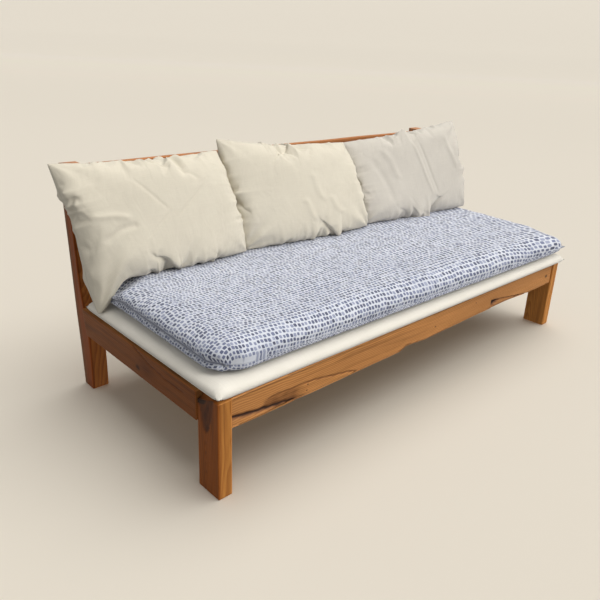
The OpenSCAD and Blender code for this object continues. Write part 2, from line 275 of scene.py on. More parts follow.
def hardwood(name, axis, centre, seed, light=(0.56, 0.26, 0.09), dark=(0.22, 0.075, 0.018),
             streaks=0.5, lean=0.03, knots=(), nails=()):
    """Sawn and oiled hardwood with its grain along one axis. Each of the knots has a place and a
    radius, and each of the nails is the place of a nail hole."""
    s = Shader(name, 0.5)
    s.surface.inputs["Specular IOR Level"].default_value = 0.2
    local = s.vector("SUBTRACT", s.place, tuple(centre))
    parts = list(s.split(local))
    along = parts.pop(AXES[axis])
    a, b = parts
    shift = seed * 3.7
    # growth rings: the distance from a pith line that wanders and leans against the board
    drift = s.noise(s.join(s.scale_add(along, 2.2, shift), s.times(a, 7), b), 1.0, 2)
    drift = s.times(s.minus(drift, 0.5), 0.07)
    pith_a = s.scale_add(along, lean, drift)
    side = 1 if seed % 2 else -1
    da = s.minus(s.minus(a, pith_a), 0.03 * math.sin(seed))
    db = s.minus(b, side * (0.05 + 0.02 * math.cos(seed)))
    radius = s.math("SQRT", s.plus(s.times(da, da), s.times(db, db)))
    core = None
    squeeze = [1.0, 1.0, 1.0]
    squeeze[AXES[axis]] = 0.62
    for place, size in knots:
        away = s.vector("SUBTRACT", s.place, tuple(place))
        away = s.vector("LENGTH", s.vector("MULTIPLY", away, tuple(squeeze)))
        swirl = s.math("POWER", math.e, s.times(away, -1 / (size * 2.4)))
        radius = s.scale_add(swirl, size * 1.6, radius)
        spot = s.span(away, size * 0.45, size * 1.15, 1.0, 0.0)
        core = spot if core is None else s.math("MAXIMUM", core, spot)
    waver = s.noise(s.join(s.scale_add(along, 5, shift), s.times(a, 14), b), 1.0, 2)
    rings = s.scale_add(waver, 2.2, s.times(radius, 170))
    saw = s.math("FRACT", rings)
    late = s.times(s.span(saw, 0.30, 0.92), s.span(saw, 1.0, 0.93))
    # broad tone, dark mineral streaks, fibres and pores, all drawn out along the grain
    def drawn(along_scale, across_scale, detail, rough=0.5, twist=0.0):
        vector = s.join(s.scale_add(along, along_scale, shift),
                        s.times(a, across_scale), s.times(b, across_scale))
        return s.noise(vector, 1.0, detail, rough, twist)
    tone = drawn(1.8, 11, 3)
    streak = drawn(1.3, 26, 4, 0.6, 0.6)
    fibre = drawn(14, 420, 3, 0.6)
    pores = drawn(60, 1500, 2, 0.6)
    colour = s.mix(s.span(tone, 0.3, 0.7), tuple(c * 0.70 for c in light), light)
    colour = s.mix(s.times(late, 0.6), colour, dark)
    brown = tuple(c * 0.42 for c in dark)
    colour = s.mix(s.times(s.span(streak, 0.50, 0.70), streaks), colour, brown)
    colour = s.mix(s.span(fibre, 0.35, 0.75, 0.0, 0.25), colour, dark)
    colour = s.mix(s.span(pores, 0.6, 0.78, 0.0, 0.35), colour, brown)
    if core is not None:
        colour = s.mix(s.times(core, 0.88), colour, KNOT_BROWN)
    for place in nails:
        away = s.vector("DISTANCE", s.place, tuple(place))
        colour = s.mix(s.span(away, 0.0016, 0.0036, 0.92, 0.0), colour, NAIL_HOLE)
    # bark and painted shadow, grey wood, painted shade on the outer faces, and arrises paler with wear
    # and a painted highlight, where the mesh says so
    bark_tone = s.mix(s.span(tone, 0.35, 0.65), BARK_BROWN, BARK_DARK)
    bark = s.times(s.attribute("bark"), s.span(fibre, 0.2, 0.6, 0.75, 1.0))
    greying = s.times(s.attribute("grey"), s.span(streak, 0.3, 0.6, 0.6, 1.0))
    colour = s.mix(greying, colour, GREY_BROWN)
    # paler along the rounded arrises: painted highlight, and wear
    pale = tuple(min(1.0, c * 1.3 + 0.02) for c in light)
    colour = s.mix(s.times(s.attribute("arris"), 0.3), colour, pale)
    # painted shade darkens and reddens the outer left faces, as far as the mesh asks
    shaded_colour = s.mix(1.0, colour, PAINTED_SHADE_TINT, "MULTIPLY")
    colour = s.mix(s.attribute("stain"), colour, shaded_colour)
    colour = s.mix(bark, colour, bark_tone)
    # near black where bark runs deepest and where shadow is painted, as in the leg's chipped corner
    colour = s.mix(s.span(s.attribute("bark"), 0.80, 1.0, 0.0, 0.85), colour, BARK_AND_SHADOW_BLACK)
    height = s.scale_add(late, -0.5, s.times(fibre, 0.8))
    normal = s.bump(height, 0.0006, 0.5)
    return s.finish(colour, normal, s.scale_add(fibre, 0.25, 0.45))


def woven(name, colour, shade, crease=0.35):
    """Plain-woven cotton or linen, with uneven threads, soft creases and painted shade along the sewn
    border.
    """
    s = Shader(name, 0.92, 0.2)
    cloth = s.attribute("cloth", "Vector")
    u, v, _ = s.split(cloth)
    warp = s.math("SINE", s.times(u, 2 * math.pi / LINEN_THREAD))
    weft = s.math("SINE", s.times(v, 2 * math.pi / LINEN_THREAD))
    weave = s.times(warp, weft)
    across = s.noise(s.join(s.times(u, 700), s.times(v, 10)), 1.0, 3, 0.6)
    down = s.noise(s.join(s.times(u, 10), s.times(v, 700)), 1.0, 3, 0.6)
    threads = s.plus(across, down)
    cloudy = s.noise(cloth, 7.0, 3, 0.6)
    result = s.mix(s.span(cloudy, 0.3, 0.75, 0.0, 0.4), colour, shade)
    result = s.mix(s.span(threads, 0.85, 1.3, 0.0, 0.45), result, shade)
    seam = s.attribute("seam")
    # painted shade along the sewn border
    result = s.mix(s.span(seam, 0.45, 1.0, 0.0, 0.35), result, tuple(c * 0.55 for c in shade))
    folds = s.noise(s.vector("MULTIPLY", cloth, (1.0, 0.7, 1.0)), 22.0, 4, 0.55, 0.8)
    normal = s.bump(folds, 0.006, crease)
    normal = s.bump(s.scale_add(weave, 0.5, threads), 0.00035, 0.5, normal)
    return s.finish(result, normal)


def printed(name):
    """White cotton printed with wandering rows of small rounded squares in blues and greys."""
    s = Shader(name, 0.9, 0.15)
    cloth = s.attribute("cloth", "Vector")
    u, v, _ = s.split(cloth)
    sway = s.scale_add(s.noise(cloth, 1.9, 2), 0.09, -0.045)
    other = s.vector("ADD", cloth, (3.0, 1.0, 0.0))
    swell = s.scale_add(s.noise(other, 2.2, 2), 0.075, -0.037)
    # squares to a metre, fewer towards the right end, where they are larger
    along_rate = s.scale_add(u, -16.0, 56.0)
    down_rate = s.scale_add(u, -8.0, 64.0)
    across = s.times(s.plus(u, sway), along_rate)
    down = s.times(s.plus(v, swell), down_rate)
    row = s.math("FLOOR", down)
    across = s.plus(across, s.random(s.join(row, 7.0, 0.0)))
    cell = s.join(s.math("FLOOR", across), row, 0.0)
    size = s.random(s.vector("ADD", cell, (0.5, 11.5, 3.0)))
    tint = s.random(s.vector("ADD", cell, (31.5, 2.5, 9.0)))
    # each square sits a little off the middle of its cell
    off_u = s.scale_add(s.random(s.vector("ADD", cell, (5.5, 4.5, 1.0))), 0.2, -0.6)
    off_v = s.scale_add(s.random(s.vector("ADD", cell, (8.5, 9.5, 2.0))), 0.2, -0.6)
    dx = s.math("ABSOLUTE", s.plus(s.math("FRACT", across), off_u))
    dy = s.math("ABSOLUTE", s.plus(s.math("FRACT", down), off_v))
    # the fourth powers make a square with rounded corners
    reach = s.plus(s.math("POWER", dx, 4.0), s.math("POWER", dy, 4.0))
    reach = s.math("POWER", reach, 0.25)
    limit = s.scale_add(size, 0.08, 0.315)
    inside = s.span(s.minus(limit, reach), -0.035, 0.035)
    blot = s.noise(cloth, 900.0, 2)
    ink = s.ramp(tint, INKS)
    ink = s.mix(s.span(blot, 0.3, 0.7, 0.0, 0.15), ink, FADED_INK)
    clouds = s.span(s.noise(cloth, 6.0, 3), 0.3, 0.7)
    ground = s.mix(clouds, GROUND_DULL, GROUND_CLEAR)
    inside = s.times(inside, s.span(s.attribute("seam"), 0.6, 0.9, 1.0, 0.0))
    colour = s.mix(inside, ground, ink)
    # painted shade in the seam's crease
    colour = s.mix(s.span(s.attribute("seam"), 0.6, 1.0, 0.0, 0.85), colour, SEAM_SHADE_NAVY)
    warp = s.math("SINE", s.times(u, 2 * math.pi / PRINT_THREAD))
    weft = s.math("SINE", s.times(v, 2 * math.pi / PRINT_THREAD))
    folds = s.noise(cloth, 16.0, 4, 0.5, 0.6)
    normal = s.bump(folds, 0.008, 0.3)
    normal = s.bump(s.times(warp, weft), 0.0002, 0.4, normal)
    return s.finish(colour, normal)


def steel(name):
    s = Shader(name, 0.35)
    s.surface.inputs["Metallic"].default_value = 1.0
    stain = s.noise(s.place, 300.0, 3)
    colour = s.mix(s.span(stain, 0.35, 0.7), (0.62, 0.60, 0.54), (0.42, 0.40, 0.34))
    return s.finish(colour, s.bump(stain, 0.0002, 0.5))


# ---------- camera, floor and light ----------

CAMERA_PLACE = (-1.769, -1.602, 1.211)
CAMERA_HEADING = -44.44
CAMERA_DOWN = 21.02
CAMERA_ROLL = 2.76
WARM_LIGHT = (1.0, 0.975, 0.94)
DAYLIGHT = (1.0, 0.985, 0.96)


def make_camera():
    """The photo's camera, worked out from the straight edges of the frame."""
    data = bpy.data.cameras.new("camera")
    data.sensor_width = 36.0
    data.lens = 37.58
    data.shift_x = -0.0188
    data.shift_y = -0.0339
    data.clip_end = 150.0
    camera = bpy.data.objects.new("camera", data)
    bpy.context.scene.collection.objects.link(camera)
    heading = Matrix.Rotation(math.radians(CAMERA_HEADING), 4, "Z")
    tilt = Matrix.Rotation(math.radians(90 - CAMERA_DOWN), 4, "X")
    roll = Matrix.Rotation(math.radians(CAMERA_ROLL), 4, "Z")
    camera.matrix_world = Matrix.Translation(CAMERA_PLACE) @ heading @ tilt @ roll
    bpy.context.scene.camera = camera


def add_sun(name, place, energy, width, colour):
    """A sun at that place, aimed at the origin. Its width in degrees softens its shadows."""
    data = bpy.data.lights.new(name, "SUN")
    data.energy = energy
    data.color = colour
    data.angle = math.radians(width)
    light = bpy.data.objects.new(name, data)
    bpy.context.scene.collection.objects.link(light)
    light.location = place
    light.rotation_euler = (-Vector(place)).to_track_quat("-Z", "Y").to_euler()


def make_studio():
    bpy.context.scene.view_settings.view_transform = "Standard"
    world = bpy.data.worlds.new("studio")
    world.use_nodes = True
    background = world.node_tree.nodes["Background"]
    background.inputs["Color"].default_value = (*WARM_LIGHT, 1)
    background.inputs["Strength"].default_value = 0.25
    bpy.context.scene.world = world
    # a floor that curves up into a wall far behind
    reach, glow_start, wall_start, bend, wall_top = 45.0, 7.0, 26.0, 4.0, 24.0
    diagonal = 0.71
    profile = [(-reach, 0.0), (wall_start, 0.0)]
    for k in range(1, 17):
        a = k / 16 * math.pi / 2
        profile.append((wall_start + bend * math.sin(a), bend * (1 - math.cos(a))))
    profile.append((wall_start + bend, wall_top))
    across = Vector((diagonal, -diagonal, 0))
    away = Vector((diagonal, diagonal, 0))
    verts = [away * d + across * side + Vector((0, 0, z))
             for d, z in profile for side in (-reach, reach)]
    faces = [(2 * i, 2 * i + 1, 2 * i + 3, 2 * i + 2) for i in range(len(profile) - 1)]
    floor = add_mesh("studio_floor", verts, faces)
    paper = Shader("studio_paper", 0.95)
    # the far floor and the wall glow, so that they are as bright as the floor near by
    x, y, height = paper.split(paper.place)
    far = paper.span(paper.plus(x, y), glow_start / diagonal, wall_start / diagonal)
    far = paper.times(paper.math("POWER", far, 1.5), 0.28)
    rise = paper.math("POWER", paper.span(height, 0.0, bend), 0.7)
    paper.put(paper.surface.inputs["Emission Color"], (0.76, 0.705, 0.61))
    paper.put(paper.surface.inputs["Emission Strength"], paper.scale_add(rise, 0.40, far))
    floor.data.materials.append(paper.finish((0.93, 0.865, 0.752)))
    floor.visible_diffuse = False
    add_sun("key", (0.46, -0.80, 0.62), 2.0, 30, WARM_LIGHT)
    add_sun("top", (0.40, -0.12, 1.0), 2.0, 72, DAYLIGHT)
    add_sun("fill", (-0.90, -0.15, 0.45), 0.60, 60, DAYLIGHT)
    # the key and fill lights are kept off the floor, whose shadow then lies under the bed
    lit = bpy.data.collections.new("lit_by_key")
    for name in ("key", "fill"):
        bpy.data.objects[name].light_linking.receiver_collection = lit


# ---------- timber ----------

LEG_FRONT_Y = -0.4425
BACK_Y = 0.4425
BACK_TOP = 0.803
SEAT_TOP = 0.309
RAIL_BASE = 0.215
RAIL_MID = (SEAT_TOP + RAIL_BASE) / 2
RAIL_HALF = (SEAT_TOP - RAIL_BASE) / 2
RAIL_HALF_T = 0.015
SIDE_RAIL_X = 0.940
LEG_INNER_X = 0.9035
LEG_DEPTH = 0.097
POST_INNER_X = 0.890
POST_X = 0.920
POST_HALF_W = 0.030
RAKE = math.tan(math.radians(4))
POST_FOOT_D = 0.062
POST_WAIST_D = 0.051
POST_TOP_D = 0.047
SWEEP_LOW_Z = 0.205
SWEEP_HIGH_Z = 0.373
BOARD_PITCH = 0.168
BOARD_H = 0.084
BOARD_T = 0.024
BOARD_DROP = 0.010


def post_rear(z):
    return BACK_Y - (BACK_TOP - z) * RAKE


def post_front(z):
    foot = post_rear(0) - POST_FOOT_D
    waist = post_rear(SWEEP_HIGH_Z) - POST_WAIST_D
    top = BACK_Y - POST_TOP_D
    return float(np.interp(z, [0, SWEEP_LOW_Z, SWEEP_HIGH_Z, BACK_TOP], [foot, foot, waist, top]))


PLAIN = (0.0, 0.0, 0.0)


def rounded_section(half_p, half_q, radius, cells):
    """Points round a rectangle with rounded corners: p, q, and 1 on a corner or 0 on a face."""
    points = []
    inner = [(1, 1), (-1, 1), (-1, -1), (1, -1)]
    inner = [(p * (half_p - radius), q * (half_q - radius)) for p, q in inner]
    for k, (p, q) in enumerate(inner):
        for j in range(4):
            a = math.pi / 2 * (k + j / 3)
            points.append((p + radius * math.cos(a), q + radius * math.sin(a), 1.0))
        p1, q1 = inner[(k + 1) % 4]
        a = math.pi / 2 * (k + 1)
        start = np.array([p + radius * math.cos(a), q + radius * math.sin(a)])
        end = np.array([p1 + radius * math.cos(a), q1 + radius * math.sin(a)])
        margin = 0.003 / np.linalg.norm(end - start)
        count = cells[k % 2]
        for t in [margin] + [j / count for j in range(1, count)] + [1 - margin]:
            points.append((*(start + (end - start) * t), 0.0))
    return points


def bar(node, length, half_p, half_q, place, shape, material, step, cells, radius=0.0025):
    """A piece of timber with rounded arrises, which shows in place of a CAD node. place(s, p, q)
    puts the point s along it in the frame. shape(s, p, q) may move a point, and says how much
    bark and painted shadow, grey wood and painted shade show there."""
    section = rounded_section(half_p, half_q, radius, cells)
    rounding = [(radius * (1 - math.cos(a)), radius * (1 - math.sin(a)))
                for a in (0.0, math.pi / 6, math.pi / 3)]
    count = max(2, round((length - 2 * radius) / step))
    stations = list(rounding)
    stations += [(radius + (length - 2 * radius) * k / count, 0.0) for k in range(count + 1)]
    stations += [(length - s, inset) for s, inset in rounding[::-1]]
    verts, looks = [], []
    for s, inset in stations:
        for p, q, corner in section:
            p1, q1 = p * (1 - inset / half_p), q * (1 - inset / half_q)
            s1, p1, q1, look = shape(s, p1, q1)
            verts.append(place(s1, p1, q1))
            looks.append((*look, 1.0 if inset else corner))
    n = len(section)
    faces = [(i * n + j, i * n + (j + 1) % n, (i + 1) * n + (j + 1) % n, (i + 1) * n + j)
             for i in range(len(stations) - 1) for j in range(n)]
    faces.append(tuple(range(n))[::-1])
    faces.append(tuple((len(stations) - 1) * n + j for j in range(n)))
    piece = add_mesh(f"{node}_timber", verts, faces)
    face_outwards(piece)
    for polygon in piece.data.polygons[-2:]:
        polygon.use_smooth = False
    for key, values in zip(("bark", "grey", "stain", "arris"), zip(*looks)):
        add_values(piece, key, values)
    piece.data.materials.append(material)
    stand_in(piece, "frame", "hardwood", node)


def near(value, centre, width):
    """1 at the centre, falling smoothly to nearly 0 at twice the width."""
    return math.exp(-((value - centre) / width) ** 2)


def along_line(x, points):
    return float(np.interp(x, [p[0] for p in points], [p[1] for p in points]))


def front_leg(side, name):
    low, high, mid = node_box(name)
    half_p, half_q = (high.y - low.y) / 2, (high.x - low.x) / 2

    def place(s, p, q):
        return (mid.x + side * q, mid.y + p, s)

    def shape(s, p, q):
        y = mid.y + p
        outer = smooth(q / half_q * 0.5 + 0.5)
        wear = 0.0006 * wobble(s * 9, y * 20, side * 5)
        if side > 0:
            return s, p, q + wear, PLAIN
        # a V of bark on the outer face, and behind it a chipped top corner, painted black as the shadow
        # under the mattress
        half_v = 0.038 * math.sqrt(max(0.0, (s - 0.192) / 0.117))
        ragged = 0.005 * wobble(s * 60, y * 40, 2.0)
        inside = smooth((half_v + ragged - abs(y + 0.384)) / 0.006 + 0.5)
        patch = inside * (1.0 if q > half_q * 0.9 else 0.0)
        chip = smooth((y + 0.425) / 0.075) * smooth((s - 0.262) / 0.045) * outer
        # the chip takes the darkest bark colours at full strength: painted shadow
        looks = max(patch * (0.85 + 0.15 * wobble(s * 25, y * 60)), min(1.0, chip * 1.6))
        # painted shade darkens and reddens the left leg's outer face
        stain = smooth(q / half_q * 2 - 0.9)
        return s - 0.024 * chip, p, q + wear - 0.0018 * patch, (looks, 0.0, stain)

    knots = [((mid.x + side * half_q, mid.y + 0.01, 0.245), 0.012)] if side < 0 else []
    wood = hardwood(f"{name}_wood", "Z", mid, 2 + side, light=(0.62, 0.26, 0.055),
                    dark=(0.26, 0.08, 0.014), lean=0.05, knots=knots, streaks=0.6)
    bar(name, high.z, half_p, half_q, place, shape, wood, step=0.006, cells=(16, 8))


# the front rail's lower edge follows the log: how high it is along the bed
LOWER_EDGE = [(-0.90, 0.214), (-0.84, 0.212), (-0.65, 0.210), (-0.37, 0.211), (-0.18, 0.211),
              (-0.148, 0.2235), (-0.11, 0.221), (-0.07, 0.218), (-0.04, 0.215), (0.0, 0.216),
              (0.12, 0.217), (0.25, 0.219), (0.52, 0.221), (0.70, 0.213), (0.90, 0.215)]
LEFT_GROOVE = [(-0.90, 0.246), (-0.84, 0.236), (-0.78, 0.229), (-0.70, 0.220), (-0.62, 0.212)]
LEFT_CRACK = [(-0.80, 0.249), (-0.76, 0.260), (-0.68, 0.258), (-0.60, 0.254), (-0.53, 0.242),
              (-0.455, 0.229), (-0.42, 0.222), (-0.385, 0.211)]
RIGHT_CRACK = [(0.405, 0.255), (0.50, 0.241), (0.60, 0.227), (0.71, 0.212)]


def rail_flaws(x, z):
    """How deep the front rail's face is sunk at a place, and how much bark shows there."""
    ragged = 0.0025 * wobble(x * 40, z * 60, 1.0)
    # left: a groove that runs out of the lower edge, torn wood above it, and a crack over that
    start = smooth((x + 0.93) / 0.03) * smooth((-0.60 - x) / 0.10)
    groove = near(z, along_line(x, LEFT_GROOVE) + ragged, 0.0068) * start
    crack_on = smooth((x + 0.80) / 0.03) * smooth((-0.37 - x) / 0.06)
    crack_z = along_line(x, LEFT_CRACK) + ragged
    crack = near(z, crack_z, 0.0026) * crack_on
    torn = smooth((x + 0.80) / 0.02) * smooth((-0.62 - x) / 0.06)
    torn *= smooth((crack_z - z) / 0.006) * smooth((z - along_line(x, LEFT_GROOVE)) / 0.006)
    # right: a mouth that tapers into a crack, with a sunken sliver below it
    right_on = smooth((x - 0.395) / 0.02) * smooth((0.72 - x) / 0.05)
    right_z = along_line(x, RIGHT_CRACK) + 0.5 * ragged
    mouth_half = 0.012 * smooth((0.49 - x) / 0.08)
    mouth = smooth((mouth_half + 0.002 - abs(z - right_z + mouth_half)) / 0.003) * right_on
    line = near(z, right_z, 0.0024) * right_on
    sliver = smooth((right_z - z) / 0.004) * right_on * smooth((0.69 - x) / 0.1)
    depth = 0.007 * groove + 0.0028 * crack + 0.002 * torn
    depth += 0.012 * mouth + 0.003 * line + 0.0026 * sliver
    mottle = 0.5 + 0.5 * wobble(x * 30, z * 110, 4.0)
    bark = max(groove * 1.15, crack * 0.85, torn * (0.25 + 0.75 * mottle), mouth, line, sliver * 0.2)
    return depth, min(1.0, bark)


def front_rail():
    low, _, mid = node_box("front_rail")

    def place(s, p, q):
        return (s - LEG_INNER_X, mid.y - q, RAIL_MID + p)

    def shape(s, p, q):
        x, z = s - LEG_INNER_X, RAIL_MID + p
        edge = along_line(x, LOWER_EDGE) + 0.0008 * wobble(x * 30, 3.0)
        drop = (edge - RAIL_BASE) * smooth((0.25 - p / RAIL_HALF) / 1.25)
        depth, bark = rail_flaws(x, z + drop)
        face = smooth(q / RAIL_HALF_T * 2 - 1.0)
        wear = 0.0007 * wobble(x * 4, z * 30, 8.0)
        return s, p + drop, q + wear - depth * face, (bark * face, 0.0, 0.0)

    face_y = low.y
    wood = hardwood("front_rail_wood", "X", (0, mid.y, RAIL_MID), 5, light=(0.67, 0.305, 0.095),
                    lean=0.012, streaks=0.55,
                    knots=[((0.859, face_y, 0.256), 0.008), ((0.02, face_y, 0.25), 0.003)],
                    nails=[(-0.620, face_y, 0.247), (-0.623, face_y, 0.228),
                           (0.282, face_y, 0.276)])
    bar("front_rail", 2 * LEG_INNER_X, RAIL_HALF, RAIL_HALF_T, place, shape, wood,
        step=0.004, cells=(32, 4))


SIDE_CRACK = [(-0.30, 0.274), (-0.285, 0.275), (-0.19, 0.273), (-0.11, 0.281), (-0.005, 0.309)]


def side_rail(side, name):
    start_y = LEG_FRONT_Y + LEG_DEPTH
    length = post_front(RAIL_MID) - start_y
    mid_x = side * SIDE_RAIL_X

    def place(s, p, q):
        z = RAIL_MID + p
        reach = (post_front(z) - start_y) / length
        return (mid_x + side * q, start_y + s * reach, z)

    def shape(s, p, q):
        y, z = start_y + s, RAIL_MID + p
        wear = 0.0008 * wobble(y * 6, z * 25, side * 3)
        if side > 0:
            return s, p, q + wear, PLAIN
        face = smooth(q / RAIL_HALF_T * 2 - 1.0)
        ragged = 0.002 * wobble(y * 50, z * 50)
        crack = near(z, along_line(y, SIDE_CRACK) + ragged, 0.0024)
        crack *= smooth((y + 0.30) / 0.03) * smooth((0.0 - y) / 0.02) * face
        patch = near(y, -0.08, 0.045) * near(z, 0.262, 0.03) * face * 0.75
        # the outer face of the left rail gets painted shade
        return s, p, q + wear - 0.003 * crack, (max(crack, patch), 0.0, face)

    knots = [((mid_x + side * RAIL_HALF_T, -0.03, 0.245), 0.010)] if side < 0 else []
    tint = (0.50, 0.23, 0.07) if side < 0 else (0.52, 0.21, 0.065)
    wood = hardwood(f"{name}_wood", "Y", (mid_x, 0, RAIL_MID), 8 + side, light=tint,
                    dark=(0.20, 0.065, 0.018), lean=0.05, knots=knots, streaks=0.9)
    bar(name, length, RAIL_HALF, RAIL_HALF_T, place, shape, wood, step=0.006, cells=(24, 4))


def rear_post(side, name):
    mid_x = side * POST_X

    def place(s, p, q):
        front, rear = post_front(s), post_rear(s)
        t = p / (POST_FOOT_D / 2)
        return (mid_x + side * q, (front + rear) / 2 + t * (rear - front) / 2, s)

    def shape(s, p, q):
        wear = 0.001 * wobble(s * 5, p * 30, side * 7 + 1)
        # a worn grey-brown strip down the rear of the outer face, and greyer over the top of the post
        outer = smooth((q - 0.020) / 0.006)
        grey = smooth((p - 0.006) / 0.01) * outer * 0.8
        grey = max(grey, smooth((s - 0.785) / 0.012))
        grey *= 0.8 + 0.2 * wobble(s * 12, p * 50)
        # painted shade on the left post's outer face
        stain = outer if side < 0 else 0.0
        sunk = 0.007 * smooth((s - 0.74) / 0.06) if side < 0 else 0.0
        return s - sunk, p, q + wear, (0.0, float(grey), stain)

    wood = hardwood(f"{name}_wood", "Z", (mid_x, 0.38, 0.4), 12 + side,
                    light=(0.62, 0.215, 0.045), dark=(0.22, 0.06, 0.014), lean=0.06, streaks=0.6)
    bar(name, BACK_TOP, POST_FOOT_D / 2, POST_HALF_W, place, shape, wood,
        step=0.01, cells=(10, 10), radius=0.003)


def rear_rail():
    front = post_rear(RAIL_BASE) - 0.040
    mid_y = front + RAIL_HALF_T

    def place(s, p, q):
        return (s - POST_INNER_X, mid_y + q, RAIL_MID + p)

    def shape(s, p, q):
        edge = 0.003 * wobble(s * 3, 4.0) * smooth(-p / RAIL_HALF)
        return s, p + edge, q + 0.0008 * wobble(s * 4, p * 30), PLAIN

    wood = hardwood("rear_rail_wood", "X", (0, mid_y, RAIL_MID), 17, streaks=0.7,
                    knots=[((-0.31, mid_y + RAIL_HALF_T, 0.27), 0.010),
                           ((0.44, mid_y + RAIL_HALF_T, 0.24), 0.007)])
    bar("rear_rail", 2 * POST_INNER_X, RAIL_HALF, RAIL_HALF_T, place, shape, wood,
        step=0.012, cells=(12, 4))


def back_board(index):
    base_z = BACK_TOP - BOARD_DROP - BOARD_H - index * BOARD_PITCH
    base_y = post_front(base_z)
    rise = BACK_TOP - SWEEP_HIGH_Z
    slope = math.atan((post_front(BACK_TOP) - post_front(SWEEP_HIGH_Z)) / rise)

    def place(s, p, q):
        up = p + BOARD_H / 2
        back = 0.001 + BOARD_T / 2 + q
        y = base_y + back * math.cos(slope) + up * math.sin(slope)
        return (s - POST_INNER_X, y, base_z - back * math.sin(slope) + up * math.cos(slope))

    def shape(s, p, q):
        edge = 0.0015 * wobble(s * 4, 9.0 + index) * abs(p) / (BOARD_H / 2)
        return s, p + edge, q + 0.0009 * wobble(s * 4, p * 30, index), PLAIN

    knots = [((-0.52 + 0.47 * index, base_y + 0.026, base_z + 0.05), 0.009),
             ((0.33 - 0.2 * index, base_y + 0.026, base_z + 0.03), 0.006)]
    name = f"back_board_{index + 1}"
    wood = hardwood(f"{name}_wood", "X", (0, base_y, base_z + 0.04), 20 + index,
                    light=(0.50, 0.20, 0.07), streaks=0.6, knots=knots)
    bar(name, 2 * POST_INNER_X, BOARD_H / 2, BOARD_T / 2, place, shape, wood,
        step=0.012, cells=(10, 3))


PEG_RADIUS = 0.004
PEG_PROUD = 0.0012
FRONT_PEG_X = 0.9189
FRONT_PEG_Y = (-0.42, -0.3443)
REAR_PEG_X = 0.9054
REAR_PEG_Y = 0.365
BACK_PEG_X = 0.9043
BACK_PEG_INSET = 0.006


def pegs(name, node, places):
    """Hand-cut pegs along Y: a ten-sided, slightly uneven section and a domed end. A place has
    the peg's x and z, and the y of its two ends."""
    verts, faces = [], []
    sides = 10
    for number, (x, z, y0, y1) in enumerate(places):
        rings = [(y0, 0.7), (y0 + 0.001, 1.0), (y1 - 0.0012, 1.0), (y1 - 0.0004, 0.8),
                 (y1, 0.45)]
        first = len(verts)
        for y, grow in rings:
            for k in range(sides):
                a = 2 * math.pi * k / sides
                r = PEG_RADIUS * grow * (1 + 0.06 * wobble(number * 3.1, k * 1.7))
                verts.append((x + r * math.cos(a), y, z + r * math.sin(a)))
        for i in range(len(rings) - 1):
            for k in range(sides):
                j = (k + 1) % sides
                a, b = first + i * sides, first + (i + 1) * sides
                faces.append((a + k, b + k, b + j, a + j))
        faces.append(tuple(first + k for k in range(sides)))
        last = first + (len(rings) - 1) * sides
        faces.append(tuple(last + k for k in range(sides))[::-1])
    piece = add_mesh(name, verts, faces)
    face_outwards(piece)
    piece.data.materials.append(peg_wood)
    stand_in(piece, "frame", "peg_wood", node)


def finish_nodes(names, material_for):
    """A procedural material on CAD nodes that stay as they are."""
    for number, name in enumerate(names):
        node = frame["nodes"][name]
        material = material_for(number, node)
        if not node.data.materials:
            node.data.materials.append(material)
        for slot in node.material_slots:
            slot.material = material


# ---------- soft goods ----------

CLOTH_TENSION = 40
CLOTH_BENDING = 0.15
CLOTH_DAMPING = 5
CUSHION_PANEL = (0.70, 0.48)
CUSHION_GRID = (84, 58)
CUSHION_PRESSURE = 6
CUSHION_FRAMES = 40
CUSHION_FLOOR = 0.4435
CUSHION_SETTLE = 0.006
PAD_FRAMES = 34
TOPPER_END_X = -0.862


def sewn_panels(name, width, height, columns, rows, bulge, seed):
    """Two panels in X and Z sewn together round their borders: the front one faces -Y.
    Returns the piece and the indices of its left, right, lower and upper borders."""
    index, verts, cloth, seam = {}, [], [], []
    for side in (0, 1):
        for i in range(columns + 1):
            for j in range(rows + 1):
                edge = i in (0, columns) or j in (0, rows)
                if side == 1 and edge:
                    index[side, i, j] = index[0, i, j]
                    continue
                u, v = 2 * i / columns - 1, 2 * j / rows - 1
                puff = bulge * math.sqrt((1 - u * u) * (1 - v * v))
                puff += 0.0 if edge else 0.003 * wobble(u * 2.5 + seed, v * 2, side * 7 + seed)
                index[side, i, j] = len(verts)
                verts.append((u * width / 2, puff * (2 * side - 1), v * height / 2))
                cloth.append((u * width / 2, v * height / 2, 0.0))
                seam.append(1.0 if edge else 0.0)
    faces = []
    for side in (0, 1):
        for i in range(columns):
            for j in range(rows):
                quad = [index[side, i, j], index[side, i + 1, j],
                        index[side, i + 1, j + 1], index[side, i, j + 1]]
                faces.append(quad if side == 0 else quad[::-1])
    piece = add_mesh(name, verts, faces)
    add_vectors(piece, "cloth", cloth)
    add_values(piece, "seam", seam)
    left = [index[0, 0, j] for j in range(rows + 1)]
    right = [index[0, columns, j] for j in range(rows + 1)]
    lower = [index[0, i, 0] for i in range(columns + 1)]
    upper = [index[0, i, rows] for i in range(columns + 1)]
    return piece, (left, right, lower, upper)


def apply_modifiers(piece):
    graph = bpy.context.evaluated_depsgraph_get()
    mesh = bpy.data.meshes.new_from_object(piece.evaluated_get(graph))
    piece.modifiers.clear()
    piece.data = mesh


